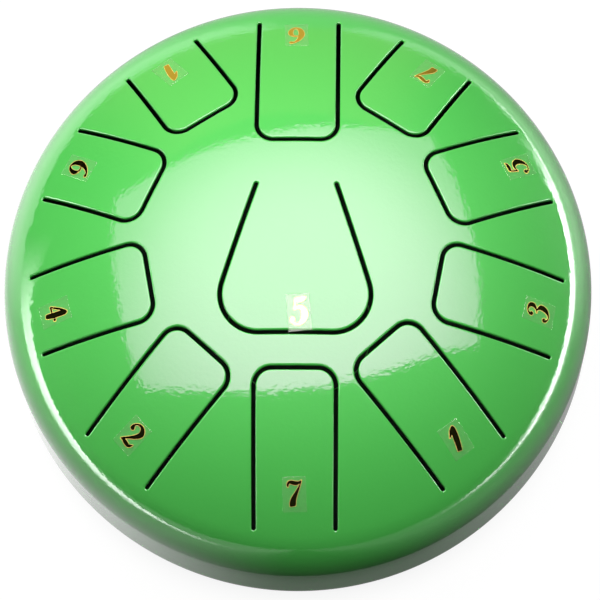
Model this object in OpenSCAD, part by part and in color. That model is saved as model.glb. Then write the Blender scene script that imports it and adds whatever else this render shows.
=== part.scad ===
// Steel tongue drum. Two pressed steel shells meet at the side wall. Eleven tongues are
// cut out of the domed top: one on the axis and ten around it. Each carries a clear
// film with a foil numeral, and four push-in rubber feet hold up the base.
// The origin is on the floor under the drum's axis, +Z is up, and the back tongue,
// the longest radial one, lies along +Y.

/* [Shells] */
// Diameter across the side wall
drum_d = 254; // [246:1:300]
// Thickness of the pressed sheet
sheet_t = 2; // [1.2:0.1:3]
// Outer radius of the domed top
dome_r = 185; // [165:1:400]
// Outer radius of the shoulder from the dome to the wall
shoulder_r = 32; // [16:1:40]
// Height of the straight side wall
wall_h = 28; // [12:1:60]
// Outer radius of the shallow dished base
base_r = 600; // [400:10:1200]
// Outer radius of the shoulder from the wall to the base
base_shoulder_r = 32; // [16:1:40]
// Diameter of the round sound hole in the base
sound_hole_d = 64; // [40:1:90]

/* [Slots] */
// Width of the cut around each tongue
slot_w = 1.8; // [1:0.1:2.4]
// Distance from the side wall's face to the outer ends of the slots
slot_end_inset = 13.9; // [12:0.1:17]
// Gap that parts a tongue's root from the shell, where the real sheet only bends
root_gap = 0.1; // [0.06:0.01:0.2]

/* [Radial tongues] */
// Width of a radial tongue between the centres of its long slots
tongue_w = 34.3; // [28:0.1:35.5]
// Radius of a radial tongue's free corners, at the middle of the slot
corner_r = 7.4; // [4:0.1:12]
// Angle from the back tongue to the first pair. The five angles share out half a turn, so a
// change of one moves all the tongues.
spread_first = 32; // [30:0.1:38]
// Angle from the first pair to the second
spread_second = 33; // [31:0.1:40]
// Angle from the second pair to the third
spread_third = 35.4; // [34:0.1:42]
// Angle from the third pair to the fourth
spread_fourth = 37.6; // [37:0.1:44]
// Angle from the fourth pair to the front tongue
spread_front = 42; // [41:0.1:48]
// Length of the low 6 tongue, from slot ends to cross slot
length_low_6 = 62.8; // [58:0.1:68]
// Length of the low 7 tongue
length_low_7 = 61.3; // [56:0.1:64]
// Length of the middle 1 tongue
length_mid_1 = 59.2; // [54:0.1:61]
// Length of the middle 2 tongue
length_mid_2 = 55.8; // [50:0.1:60]
// Length of the middle 3 tongue
length_mid_3 = 51.2; // [46:0.1:53]
// Length of the middle 4 tongue
length_mid_4 = 49.2; // [44:0.1:53]
// Length of the middle 5 tongue
length_mid_5 = 46.3; // [42:0.1:49]
// Length of the middle 6 tongue
length_mid_6 = 44.6; // [40:0.1:48]
// Length of the middle 7 tongue
length_mid_7 = 41.3; // [37:0.1:44]
// Length of the high 1 tongue
length_high_1 = 39.8; // [35:0.1:43]

/* [Centre tongue] */
// Distance from the drum's axis back to the slot ends of the centre tongue
centre_root = 28; // [24:0.5:30]
// Length of the centre tongue, which is the lowest note
length_low_5 = 64.2; // [58:0.1:68]
// Distance between its slot ends
centre_root_w = 33.8; // [28:0.1:38]
// Full width at its free end
centre_tip_w = 63; // [54:0.5:68]
// Radius of its free corners
centre_corner_r = 16.3; // [10:0.1:20]

/* [Note films] */
// Width of a clear film
film_w = 10; // [8.5:0.1:12]
// Length of a clear film
film_l = 15.8; // [14:0.1:16.2]
// Thickness of a clear film
film_t = 0.15; // [0.1:0.01:0.3]
// Height of a numeral
numeral_h = 11.8; // [8:0.1:12.4]
// How far a numeral stands above the middle of its film
numeral_rise = 0.5; // [0:0.1:1]
// Thickness of a numeral's foil
foil_t = 0.1; // [0.06:0.01:0.2]

/* [Feet] */
// Height of the base's lowest point over the floor
foot_stand = 6; // [4:0.5:14]
// Distance of each foot from the drum's axis
foot_circle_r = 80; // [60:1:84]
// Diameter of a foot where it meets the base
foot_d = 22; // [14:0.5:26]
// Diameter of a foot at the floor
foot_tip_d = 18; // [10:0.5:21]
// Radius of a foot's lower edge
foot_edge_r = 1.6; // [0.6:0.1:3]
// Diameter of the neck that fills the hole in the base
neck_d = 7; // [5:0.1:8.5]
// Gap round the neck in its hole
neck_clear = 0.1; // [0.05:0.01:0.3]
// Diameter of the head that holds the foot from inside
head_d = 11; // [9.5:0.1:14]
// Height of that head
head_h = 3.5; // [2:0.1:6]

/* [Hidden] */
$fn = 144;
// How far a cut runs past what it cuts
overrun = 1;
// How far a round corner laps over the edges beside it, so that they cross
round_lap = 0.01;
// Reach of the wedge that a round corner is cut from, over the corner's radius
wedge_share = 2;
// Points worked out between two given points of a numeral's stroke
stroke_steps = 4;

drum_r = drum_d / 2;

// Base: its dish and shoulder share a tangent at base_span from the lowest point
base_z = foot_stand + base_r;
base_span = asin((drum_r - base_shoulder_r) / (base_r - base_shoulder_r));
base_shoulder_z = base_z - (base_r - base_shoulder_r) * cos(base_span);

// The shells meet halfway up the straight wall
seam_z = base_shoulder_z + wall_h / 2;

// Top: its dome and shoulder share a tangent at dome_span from the crown
shoulder_z = base_shoulder_z + wall_h;
dome_span = asin((drum_r - shoulder_r) / (dome_r - shoulder_r));
dome_z = shoulder_z - (dome_r - shoulder_r) * cos(dome_span);
crown_z = dome_z + dome_r;

// Slot ends of the radial tongues, along the tongue's own axis
root_r = drum_r - slot_end_inset;
radial_root = sqrt(pow(root_r, 2) - pow(tongue_w / 2, 2));

// Directions of the pairs, counted from the back tongue
half_turn = 180;
spread_sum = spread_first + spread_second + spread_third + spread_fourth + spread_front;
pair_1 = half_turn * spread_first / spread_sum;
pair_2 = pair_1 + half_turn * spread_second / spread_sum;
pair_3 = pair_2 + half_turn * spread_third / spread_sum;
pair_4 = pair_3 + half_turn * spread_fourth / spread_sum;

// Foot: heights of the base's two faces on the foot's axis and at its rim
foot_face_z = base_z - sqrt(pow(base_r, 2) - pow(foot_circle_r, 2));
foot_inner_z = base_z - sqrt(pow(base_r - sheet_t, 2) - pow(foot_circle_r, 2));
foot_rim_z = base_z - sqrt(pow(base_r, 2) - pow(foot_circle_r + foot_d / 2, 2));
foot_angles = [45, 135, 225, 315];

// One row for each tongue: its name, the direction of its root from the axis, its length and
// its numeral
NOTES = [
    ["low_5",  90,          length_low_5,  5],
    ["low_6",  90,          length_low_6,  6],
    ["low_7",  -90,         length_low_7,  7],
    ["mid_1",  90 - pair_4, length_mid_1,  1],
    ["mid_2",  90 + pair_4, length_mid_2,  2],
    ["mid_3",  90 - pair_3, length_mid_3,  3],
    ["mid_4",  90 + pair_3, length_mid_4,  4],
    ["mid_5",  90 - pair_2, length_mid_5,  5],
    ["mid_6",  90 + pair_2, length_mid_6,  6],
    ["mid_7",  90 - pair_1, length_mid_7,  7],
    ["high_1", 90 + pair_1, length_high_1, 1],
];

// Where each film was stuck, in the same order: how far its middle lies from the tongue's
// root as a share of the film's length (the centre tongue's lies at its free end instead),
// and how far it lies beside the tongue's middle as a share of the film's width
FILM_SHARES = [
    [0.00, 0.16], [0.46, -0.09], [0.77, 0.00], [0.67, 0.04], [0.68, 0.08], [0.46, 0.05],
    [0.48, -0.19], [0.46, -0.11], [0.55, -0.01], [0.55, 0.11], [0.55, -0.07]
];
// Degrees by which each film was stuck on askew
FILM_TURNS = [5, 2, 2, -4, -6, -1, 4, 2, -3, -2, 8];

function note_name(i) = NOTES[i][0];
function note_angle(i) = NOTES[i][1];
function note_length(i) = NOTES[i][2];
function note_digit(i) = NOTES[i][3];
function is_centre(i) = note_name(i) == "low_5";
function note_root(i) = is_centre(i) ? centre_root : radial_root;
function corner_radius(i) = is_centre(i) ? centre_corner_r : corner_r;
function root_half(i) = (is_centre(i) ? centre_root_w : tongue_w) / 2;
function tip_half(i) = (is_centre(i) ? centre_tip_w : tongue_w) / 2 - corner_radius(i);

// Middle of the free corner on a tongue's right, from the middle of its root
function corner_middle(i) = [tip_half(i), note_length(i) - corner_radius(i)];

// Direction square to the right-hand slot, which touches the corner's circle
function side_angle(i) =
    let (d = corner_middle(i) - [root_half(i), 0])
    atan2(d.y, d.x) - acos(-corner_radius(i) / norm(d));

function toward(angle) = [cos(angle), sin(angle)];
function flip(points) = [for (k = [len(points) - 1:-1:0]) [-points[k].x, points[k].y]];

// Wedge at the middle of a round corner of radius r, which holds the whole corner
module corner_wedge(r, from, to) {
    reach = r * wedge_share;
    polygon([[0, 0], reach * toward(from), reach * toward((from + to) / 2), reach * toward(to)]);
}

// What rounding with radius r takes off a sharp corner, seen from the round's middle
module corner_waste(r, from, to) {
    difference() {
        corner_wedge(r, from, to);
        circle(r + round_lap);
    }
}

// Half of the closed drum seen from the side, moved inwards by inset from its outer faces
module half_profile(inset) {
    difference() {
        intersection() {
            translate([0, dome_z]) circle(dome_r - inset);
            translate([0, base_z]) circle(base_r - inset);
            square([drum_r - inset, crown_z]);
        }
        translate([drum_r - shoulder_r, shoulder_z])
            corner_waste(shoulder_r - inset, 0, 90 - dome_span);
        translate([drum_r - base_shoulder_r, base_shoulder_z])
            corner_waste(base_shoulder_r - inset, base_span - 90, 0);
    }
}

// The pressed sheet from height low to height high, before any slot or hole is cut
module sheet_between(low, high) {
    rotate_extrude() intersection() {
        difference() {
            half_profile(0);
            half_profile(sheet_t);
        }
        translate([0, low]) square([drum_d, high - low]);
    }
}

module top_sheet() {
    sheet_between(seam_z, crown_z + overrun);
}

// Right half of a tongue's edge, moved outwards by grow from the middle of the slot. It leaves
// out the round free corner, whose circle starts at the second point and ends at the last.
function half_edge(i, grow) =
    let (c = corner_middle(i), n = toward(side_angle(i)), r = corner_radius(i) + grow)
    [[root_half(i), 0] + grow * n, c + r * n, c, c + [0, r]];

// Where the side and the tip would meet if the free corner were sharp
function sharp_corner(i, grow) =
    let (c = corner_middle(i), n = toward(side_angle(i)), r = corner_radius(i) + grow)
    [(n * c + r - n.y * (c.y + r)) / n.x, c.y + r];

// Both round free corners
module free_corners(i, grow) {
    r = corner_radius(i) + grow;
    for (side = [0, 1]) mirror([side, 0]) translate(corner_middle(i)) intersection() {
        circle(r);
        corner_wedge(r, side_angle(i), 90);
    }
}

// Round outer ends of the two long slots
module slot_ends(i) {
    for (side = [0, 1]) mirror([side, 0]) translate([root_half(i), 0]) intersection() {
        circle(slot_w / 2);
        rotate(side_angle(i)) translate([-slot_w, -slot_w]) square([2 * slot_w, slot_w]);
    }
}

// Opening in the top shell: a tongue and the slot around it
module window_outline(i) {
    outer = half_edge(i, slot_w / 2);
    inner = [half_edge(i, -slot_w / 2)[0]];
    polygon(concat(inner, outer, flip(outer), flip(inner)));
    free_corners(i, slot_w / 2);
    slot_ends(i);
}

// The tongue inside its slot, parted from the shell at the root
module tongue_outline(i) {
    root = half_edge(i, -slot_w / 2)[0];
    tip = sharp_corner(i, -slot_w / 2);
    across = 2 * tip.x + 2 * overrun;
    difference() {
        polygon([root, tip, [-tip.x, tip.y], [-root.x, root.y]]);
        for (side = [0, 1]) mirror([side, 0]) translate(corner_middle(i))
            corner_waste(corner_radius(i) - slot_w / 2, side_angle(i), 90);
        translate([-across / 2, root.y + root_gap - note_length(i)]) square([across, note_length(i)]);
    }
}

// Raises an outline drawn from a tongue's root through the domed top
module cut_from_top(i) {
    rotate([0, 0, note_angle(i) + 90]) translate([0, -note_root(i), seam_z])
        linear_extrude(crown_z - seam_z + overrun) children();
}

// Puts a piece where a tongue's film lies, with +Z square to the dome and the top of the
// numeral towards +Y, which points at the middle of the drum
module on_dome(i) {
    back = is_centre(i) ? note_length(i) - film_l / 2 : FILM_SHARES[i][0] * film_l;
    lean = asin((note_root(i) - back) / dome_r);
    aside = asin(FILM_SHARES[i][1] * film_w / dome_r);
    translate([0, 0, dome_z]) rotate([0, 0, note_angle(i) - 90]) rotate([-lean, 0, 0])
        rotate([0, aside, 0]) rotate([0, 0, FILM_TURNS[i] + (is_centre(i) ? 0 : 180)]) children();
}

// A skin on the dome from radius low to radius high
module dome_skin(low, high) {
    difference() {
        sphere(high);
        sphere(low);
    }
}

module top_shell() {
    color("limegreen") difference() {
        top_sheet();
        for (i = [0:len(NOTES) - 1]) cut_from_top(i) window_outline(i);
    }
}

module bottom_shell() {
    color("limegreen") difference() {
        sheet_between(0, seam_z);
        cylinder(h = seam_z, d = sound_hole_d);
        for (a = foot_angles) rotate([0, 0, a]) translate([foot_circle_r, 0, 0])
            cylinder(h = seam_z, d = neck_d + 2 * neck_clear);
    }
}

module tongue(i) {
    color("mediumseagreen") intersection() {
        top_sheet();
        cut_from_top(i) tongue_outline(i);
    }
}

module film(i) {
    color("honeydew", 0.5) on_dome(i) intersection() {
        dome_skin(dome_r, dome_r + film_t);
        translate([-film_w / 2, -film_l / 2, dome_r - overrun]) cube([film_w, film_l, 2 * overrun]);
    }
}

// Side view of a foot under the base, with a rounded lower edge
module foot_section() {
    tip = foot_tip_d / 2;
    polygon([
        [0, 0], [tip - foot_edge_r, 0], [tip - foot_edge_r, foot_edge_r], [tip, foot_edge_r],
        [foot_d / 2, foot_rim_z], [foot_d / 2, foot_rim_z + overrun], [0, foot_rim_z + overrun]
    ]);
    translate([tip - foot_edge_r, foot_edge_r]) intersection() {
        circle(foot_edge_r);
        translate([0, -foot_edge_r]) square(foot_edge_r);
    }
}

module foot(k) {
    color("dimgray") rotate([0, 0, foot_angles[k - 1]]) translate([foot_circle_r, 0, 0]) {
        difference() {
            rotate_extrude() foot_section();
            translate([-foot_circle_r, 0, base_z]) sphere(base_r);
        }
        translate([0, 0, foot_face_z - foot_edge_r])
            cylinder(h = foot_inner_z - foot_face_z + 2 * foot_edge_r, d = neck_d);
        intersection() {
            translate([0, 0, foot_inner_z - overrun])
                cylinder(h = head_h + overrun, d1 = head_d, d2 = neck_d);
            translate([-foot_circle_r, 0, base_z]) sphere(base_r - sheet_t);
        }
    }
}

// Numerals. Each is a list of strokes, and a stroke is a list of points with the pen's width
// at each. Every number is a share of the numeral's height.
ONE_SHARES = [
    [[0.14, 0.50, 0.05], [0.10, 0.36, 0.17], [0.04, 0.05, 0.19], [-0.04, -0.28, 0.18],
     [-0.10, -0.49, 0.15]],
    [[-0.18, 0.14, 0.04], [-0.08, 0.24, 0.09], [0.02, 0.36, 0.12], [0.12, 0.48, 0.05]],
];
TWO_SHARES = [
    [[-0.15, 0.09, 0.04], [-0.17, 0.16, 0.15], [-0.20, 0.25, 0.12], [-0.18, 0.36, 0.07],
     [-0.05, 0.46, 0.09], [0.12, 0.43, 0.14], [0.22, 0.24, 0.18], [0.12, 0.02, 0.14],
     [-0.06, -0.20, 0.09], [-0.24, -0.42, 0.06]],
    [[-0.27, -0.44, 0.04], [-0.14, -0.38, 0.13], [0.02, -0.42, 0.15], [0.16, -0.41, 0.12],
     [0.27, -0.26, 0.03]],
];
THREE_SHARES = [
    [[-0.12, 0.20, 0.04], [-0.14, 0.27, 0.14], [-0.16, 0.35, 0.10], [-0.11, 0.43, 0.06],
     [0.00, 0.47, 0.08], [0.15, 0.40, 0.14], [0.17, 0.24, 0.14], [0.04, 0.10, 0.07],
     [-0.08, 0.06, 0.05]],
    [[-0.02, 0.08, 0.04], [0.08, 0.05, 0.08], [0.18, -0.08, 0.17], [0.14, -0.30, 0.16],
     [0.00, -0.45, 0.09], [-0.14, -0.46, 0.06], [-0.23, -0.38, 0.10], [-0.22, -0.29, 0.15],
     [-0.19, -0.22, 0.04]],
];
FOUR_SHARES = [
    [[0.13, 0.48, 0.06], [-0.02, 0.26, 0.08], [-0.16, 0.00, 0.08], [-0.26, -0.17, 0.05]],
    [[-0.28, -0.17, 0.09], [-0.10, -0.17, 0.08], [0.12, -0.15, 0.06], [0.19, -0.13, 0.08],
     [0.25, -0.11, 0.12], [0.31, -0.08, 0.04]],
    [[0.14, 0.50, 0.06], [0.13, 0.38, 0.16], [0.09, 0.00, 0.18], [0.04, -0.34, 0.17],
     [0.01, -0.49, 0.12]],
];
FIVE_SHARES = [
    [[-0.10, 0.42, 0.10], [0.04, 0.40, 0.14], [0.17, 0.42, 0.12], [0.27, 0.50, 0.03]],
    [[-0.08, 0.45, 0.06], [-0.11, 0.26, 0.07], [-0.15, 0.06, 0.06]],
    [[-0.17, 0.06, 0.05], [-0.02, 0.14, 0.09], [0.13, 0.09, 0.15], [0.20, -0.10, 0.18],
     [0.12, -0.33, 0.14], [-0.03, -0.46, 0.08], [-0.17, -0.44, 0.06], [-0.25, -0.35, 0.10],
     [-0.24, -0.26, 0.15], [-0.20, -0.19, 0.04]],
];
SIX_SHARES = [
    [[0.29, 0.42, 0.03], [0.22, 0.43, 0.12], [0.14, 0.43, 0.08], [0.05, 0.39, 0.08],
     [-0.08, 0.24, 0.13], [-0.18, -0.04, 0.18], [-0.14, -0.32, 0.15], [0.02, -0.46, 0.08],
     [0.16, -0.36, 0.12], [0.22, -0.14, 0.15], [0.14, 0.03, 0.10]],
    [[0.18, 0.00, 0.09], [0.03, 0.06, 0.07], [-0.10, 0.00, 0.05], [-0.19, -0.10, 0.04]],
];
SEVEN_SHARES = [
    [[-0.22, 0.22, 0.03], [-0.22, 0.34, 0.09], [-0.18, 0.45, 0.07]],
    [[-0.22, 0.42, 0.08], [-0.10, 0.42, 0.13], [0.06, 0.38, 0.14], [0.18, 0.41, 0.09],
     [0.27, 0.50, 0.03]],
    [[0.26, 0.48, 0.04], [0.20, 0.30, 0.06], [0.08, 0.04, 0.11], [-0.03, -0.20, 0.17],
     [-0.07, -0.40, 0.20], [-0.06, -0.50, 0.16]],
];
NUMERAL_SHARES = [
    ONE_SHARES, TWO_SHARES, THREE_SHARES, FOUR_SHARES, FIVE_SHARES, SIX_SHARES, SEVEN_SHARES
];

// Smooth curve between b and c, with a before and d after them
function between(a, b, c, d, t) =
    let (bend = 2 * a - 5 * b + 4 * c - d, twist = 3 * b - a - 3 * c + d)
    (2 * b + (c - a) * t + bend * pow(t, 2) + twist * pow(t, 3)) / 2;

function smooth(p) =
    let (last = len(p) - 1)
    concat([for (k = [0:last - 1]) for (s = [0:stroke_steps - 1])
        between(p[max(k - 1, 0)], p[k], p[k + 1], p[min(k + 2, last)], s / stroke_steps)], [p[last]]);

// One side of a stroke: half its width to the left or to the right of its run
function stroke_side(p, side) =
    let (last = len(p) - 1)
    [for (k = [0:last])
        let (run = p[min(k + 1, last)] - p[max(k - 1, 0)], n = norm([run.x, run.y]))
        [p[k].x, p[k].y] + side * p[k].z / 2 * [-run.y, run.x] / n];

module stroke(shares) {
    path = smooth(shares);
    left = stroke_side(path, 1);
    right = stroke_side(path, -1);
    polygon(concat(left, [for (k = [len(right) - 1:-1:0]) right[k]]));
}

module numeral_outline(digit) {
    scale(numeral_h) for (shares = NUMERAL_SHARES[digit - 1]) stroke(shares);
}

module numeral(i) {
    color("goldenrod") on_dome(i) intersection() {
        dome_skin(dome_r + film_t, dome_r + film_t + foil_t);
        translate([0, 0, dome_r - overrun]) linear_extrude(2 * overrun)
            translate([0, numeral_rise]) numeral_outline(note_digit(i));
    }
}

top_shell();
bottom_shell();
for (k = [1:len(foot_angles)]) {
    foot(k);
}
for (i = [0:len(NOTES) - 1]) {
    tongue(i);
    film(i);
    numeral(i);
}
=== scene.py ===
"""Steel tongue drum: its looks, light and camera, built in the frame of the CAD part.

Everything is worked out in millimetres, with the origin on the floor under the drum's axis
and +Z up, and scaled to metres when a mesh is made.
"""
from __future__ import annotations

import logging
import math
from dataclasses import dataclass, field
from enum import Enum
from typing import Callable, Sequence

import bpy
import numpy as np
from mathutils import Matrix, Vector, geometry

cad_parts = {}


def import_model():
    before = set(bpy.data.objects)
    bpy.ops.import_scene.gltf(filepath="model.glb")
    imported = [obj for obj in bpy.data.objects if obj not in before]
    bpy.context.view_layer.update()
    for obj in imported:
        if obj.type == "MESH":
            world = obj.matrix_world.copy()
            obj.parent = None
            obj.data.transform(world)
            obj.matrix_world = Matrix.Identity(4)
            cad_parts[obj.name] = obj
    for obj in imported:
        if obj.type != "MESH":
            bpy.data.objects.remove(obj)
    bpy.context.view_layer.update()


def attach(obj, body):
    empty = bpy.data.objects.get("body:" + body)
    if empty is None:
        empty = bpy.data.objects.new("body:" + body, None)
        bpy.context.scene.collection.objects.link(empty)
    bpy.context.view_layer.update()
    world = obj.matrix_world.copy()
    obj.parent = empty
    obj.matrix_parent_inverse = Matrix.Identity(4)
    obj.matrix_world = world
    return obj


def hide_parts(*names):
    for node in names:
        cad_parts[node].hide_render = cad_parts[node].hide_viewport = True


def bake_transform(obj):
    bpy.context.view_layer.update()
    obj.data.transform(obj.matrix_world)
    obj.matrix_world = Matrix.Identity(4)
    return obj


LOG = logging.getLogger("tongue_drum")
MM = 0.001
WHITE = (1.0, 1.0, 1.0)
# Distances between mesh points, and their least distance from an outline, in millimetres
FACE_STEP, FACE_CLEAR = 3.0, 1.3
FOIL_STEP, FOIL_CLEAR = 0.15, 0.05
SIDE_STEP, CORNER_STEP, END_STEP = 1.2, 0.55, 0.28
ROOT_POINTS = 16
QUARTER = np.linspace(0.0, math.pi / 2, 5)  # angles of the points across a rounded edge
CHUNK = 2000  # points measured at a time
SLIVER = 1e-4  # height of the thinnest triangle that is kept, as a share of the spacing


class Part(Enum):
    """Names of the pieces, without the note that some of them belong to."""

    TOP_SHELL = "top_shell"
    BOTTOM_SHELL = "bottom_shell"
    TONGUE = "tongue"
    FILM = "film"
    NUMERAL = "numeral"
    FEET = "feet"

    def piece(self, note: str = "") -> str:
        """Name the visible piece, which mustn't have the name of a CAD node."""
        return "_".join(word for word in ("look", self.value, note) if word)

    def node(self, note: str) -> str:
        """Name the CAD node of a note's piece."""
        return f"{self.value}_{note}"


def unit(v: np.ndarray) -> np.ndarray:
    """Scale vectors to length one."""
    return v / np.linalg.norm(v, axis=-1, keepdims=True)


def direction(angle: float) -> np.ndarray:
    """Give the plan direction at an angle."""
    return np.array([math.cos(angle), math.sin(angle)])


def arc(middle: np.ndarray, radius: float, start: float, end: float,
        step: float) -> tuple[np.ndarray, np.ndarray]:
    """Sample an arc.

    Args:
        middle: Centre of the arc.
        radius: Radius of the arc.
        start: First angle in radians.
        end: Last angle in radians.
        step: Largest distance between two points.

    Returns:
        The points and the unit directions from the middle to them.
    """
    count = max(3, math.ceil(abs(end - start) * radius / step))
    rays = np.array([direction(a) for a in np.linspace(start, end, count + 1)])
    return middle + radius * rays, rays


def inside(points: np.ndarray, loop: np.ndarray) -> np.ndarray:
    """Test which points lie inside a closed loop.

    Args:
        points: Points in the plane.
        loop: Corners of the loop in order.

    Returns:
        One truth value for each point.
    """
    x, y = points[:, :1], points[:, 1:2]
    ax, ay = loop[:, 0], loop[:, 1]
    bx, by = np.roll(ax, -1), np.roll(ay, -1)
    rise = np.where(by == ay, 1.0, by - ay)
    crosses = ((ay > y) != (by > y)) & (x < (bx - ax) * (y - ay) / rise + ax)
    return crosses.sum(axis=1) % 2 == 1


def nearest(points: np.ndarray, starts: np.ndarray, ends: np.ndarray) -> np.ndarray:
    """Measure how far points lie from the nearest of some line pieces.

    Args:
        points: Points in the plane.
        starts: First end of each line piece.
        ends: Other end of each line piece.

    Returns:
        One distance for each point.
    """
    run = ends - starts
    length = np.maximum((run ** 2).sum(axis=1), 1e-12)
    best = np.full(len(points), np.inf)
    for part in range(0, len(points), CHUNK):
        rows = slice(part, part + CHUNK)
        away = points[rows, None, :] - starts[None]
        t = np.clip((away * run).sum(axis=2) / length, 0.0, 1.0)
        best[rows] = np.linalg.norm(away - t[..., None] * run, axis=2).min(axis=1)
    return best


def plain_mesh(name: str, points: Sequence[Sequence[float]],
               faces: Sequence[Sequence[int]]) -> bpy.types.Mesh:
    """Make a mesh.

    Args:
        name: Its name.
        points: Its points in metres.
        faces: Its faces as numbers of points.

    Returns:
        The mesh.
    """
    mesh = bpy.data.meshes.new(name)
    mesh.from_pydata(points, [], faces)
    return mesh


def mark(mesh: bpy.types.Mesh, name: str, values: Sequence[float]) -> None:
    """Write an attribute of a mesh."""
    mesh.attributes.new(name, "FLOAT", "POINT").data.foreach_set("value", values)


def put(name: str, data: bpy.types.ID) -> bpy.types.Object:
    """Put a mesh, lamp or camera into the scene.

    Args:
        name: Name of the object.
        data: What it shows.

    Returns:
        The object.
    """
    obj = bpy.data.objects.new(name, data)
    bpy.context.scene.collection.objects.link(obj)
    return obj


@dataclass
class PlanFill:
    """Triangles of a flat region, with the place of each given point among its corners."""

    points: np.ndarray
    triangles: np.ndarray
    place: np.ndarray

    @classmethod
    def between(cls, loops: Sequence[np.ndarray], spacing: float,
                keep: Callable[[np.ndarray], np.ndarray], clear: float) -> "PlanFill":
        """Fill the region bounded by loops with even triangles.

        Args:
            loops: Closed loops, which may cross each other.
            spacing: Distance between the points set inside.
            keep: Tells which points belong to the region.
            clear: Smallest distance between a point set inside and a loop.

        Returns:
            The filled region.
        """
        given = np.concatenate(loops)
        edges, starts, first = [], [], 0
        for loop in loops:
            count = len(loop)
            edges += [(first + k, first + (k + 1) % count) for k in range(count)]
            starts.append(np.roll(loop, -1, axis=0))
            first += count
        low, high = given.min(axis=0), given.max(axis=0)
        rows = []
        for k, y in enumerate(np.arange(low[1], high[1], spacing * math.sin(math.pi / 3))):
            x = np.arange(low[0] + (k % 2) * spacing / 2, high[0], spacing)
            rows.append(np.stack([x, np.full(len(x), y)], axis=1))
        grid = np.concatenate(rows)
        grid = grid[keep(grid)]
        grid = grid[nearest(grid, given, np.concatenate(starts)) > clear]
        every = np.concatenate([given, grid])
        corners, _, faces, origins, _, _ = geometry.delaunay_2d_cdt(
            [Vector(p) for p in every], edges, [], 0, 1e-7, True)
        points = np.array([tuple(v)[:2] for v in corners])
        triangles = np.array([tuple(f) for f in faces], dtype=int)
        a, b, c = (points[triangles[:, k]] for k in range(3))
        sides = [np.linalg.norm(q - p, axis=1) for p, q in ((a, b), (b, c), (c, a))]
        twice_area = np.abs(np.cross(b - a, c - a))
        # Along a straight side the hull adds slivers as thin as the rounding of the points
        thick = twice_area > SLIVER * spacing * np.max(sides, axis=0)
        triangles = triangles[thick & keep((a + b + c) / 3)]
        place = np.full(len(every), -1)
        for new, old in enumerate(origins):
            place[list(old)] = new
        return cls(points, triangles, place)

    def rim(self) -> np.ndarray:
        """Find the edges that bound the region.

        Returns:
            Pairs of corners.
        """
        edges = np.concatenate([self.triangles[:, [0, 1]], self.triangles[:, [1, 2]],
                                self.triangles[:, [2, 0]]])
        _, back, count = np.unique(np.sort(edges, axis=1), axis=0, return_inverse=True,
                                   return_counts=True)
        return edges[count[back.ravel()] == 1]


class Draft:
    """Points and faces of a mesh, with a normal at every corner of every face."""

    def __init__(self) -> None:
        """Start without points or faces."""
        self.points: list[np.ndarray] = []
        self.masks: list[np.ndarray] = []
        self.total = 0
        self.faces: list[list[int]] = []
        self.normals: list[list[np.ndarray]] = []

    def add(self, points: np.ndarray, mask: float | np.ndarray = 0.0) -> np.ndarray:
        """Add points.

        Args:
            points: Positions in millimetres.
            mask: 1 where the piece's other look shows, such as inside the drum, where the paint is
                darkened as painted shade, or along a numeral's duller rim; else 0.

        Returns:
            Their numbers.
        """
        rows = np.arange(self.total, self.total + len(points))
        self.points.append(np.asarray(points, dtype=float))
        self.masks.append(np.broadcast_to(mask, len(points)))
        self.total += len(points)
        return rows

    def face(self, corners: Sequence[int], normals: Sequence[np.ndarray]) -> None:
        """Add a face, wound later to suit its normals."""
        self.faces.append([int(c) for c in corners])
        self.normals.append(list(normals))

    def fill(self, triangles: np.ndarray, rows: np.ndarray, normals: np.ndarray) -> None:
        """Add the triangles of a filled region."""
        for tri in triangles:
            self.face(rows[tri], normals[tri])

    def strip(self, a: np.ndarray, b: np.ndarray, normals_a: np.ndarray,
              normals_b: np.ndarray, closed: bool = False) -> None:
        """Join two rows of points with four-sided faces.

        Args:
            a: Numbers of the first row's points.
            b: Numbers of the second row's points.
            normals_a: Outward normals along the first row.
            normals_b: Outward normals along the second row.
            closed: Whether the rows run round in a ring.
        """
        count = len(a)
        for k in range(count if closed else count - 1):
            n = (k + 1) % count
            self.face([a[k], a[n], b[n], b[k]],
                      [normals_a[k], normals_a[n], normals_b[n], normals_b[k]])

    def tube(self, rings: Sequence[np.ndarray], normals: Sequence[np.ndarray],
             mask: float = 0.0, row: np.ndarray | None = None) -> list[np.ndarray]:
        """Join rings of points into a tube.

        Args:
            rings: Positions of the points of each ring.
            normals: Outward normals of each ring.
            mask: Mask of the points.
            row: Numbers of the first ring's points, if they were added before.

        Returns:
            Numbers of the points of each ring.
        """
        rows = [self.add(rings[0], mask) if row is None else row]
        for k in range(1, len(rings)):
            rows.append(self.add(rings[k], mask))
            self.strip(rows[-2], rows[-1], normals[k - 1], normals[k], True)
        return rows

    def cap(self, loop: Sequence[int], normal: np.ndarray) -> None:
        """Close a loop with one flat face."""
        self.face(loop, [normal] * len(loop))

    def build(self, name: str) -> bpy.types.Object:
        """Make the mesh object.

        Args:
            name: Name of the object.

        Returns:
            The object, linked to the scene.
        """
        points = np.concatenate(self.points)
        faces, corner_normals = [], []
        for corners, normals in zip(self.faces, self.normals):
            p = points[corners]
            turn = np.cross(p, np.roll(p, -1, axis=0)).sum(axis=0)
            if turn @ np.sum(normals, axis=0) < 0:
                corners, normals = corners[::-1], normals[::-1]
            faces.append(corners)
            corner_normals.extend(normals)
        mesh = plain_mesh(name, (points * MM).tolist(), faces)
        mesh.shade_smooth()
        mesh.normals_split_custom_set(unit(np.array(corner_normals)).tolist())
        mark(mesh, "mask", np.concatenate(self.masks))
        mesh.update()
        return put(name, mesh)


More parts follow.
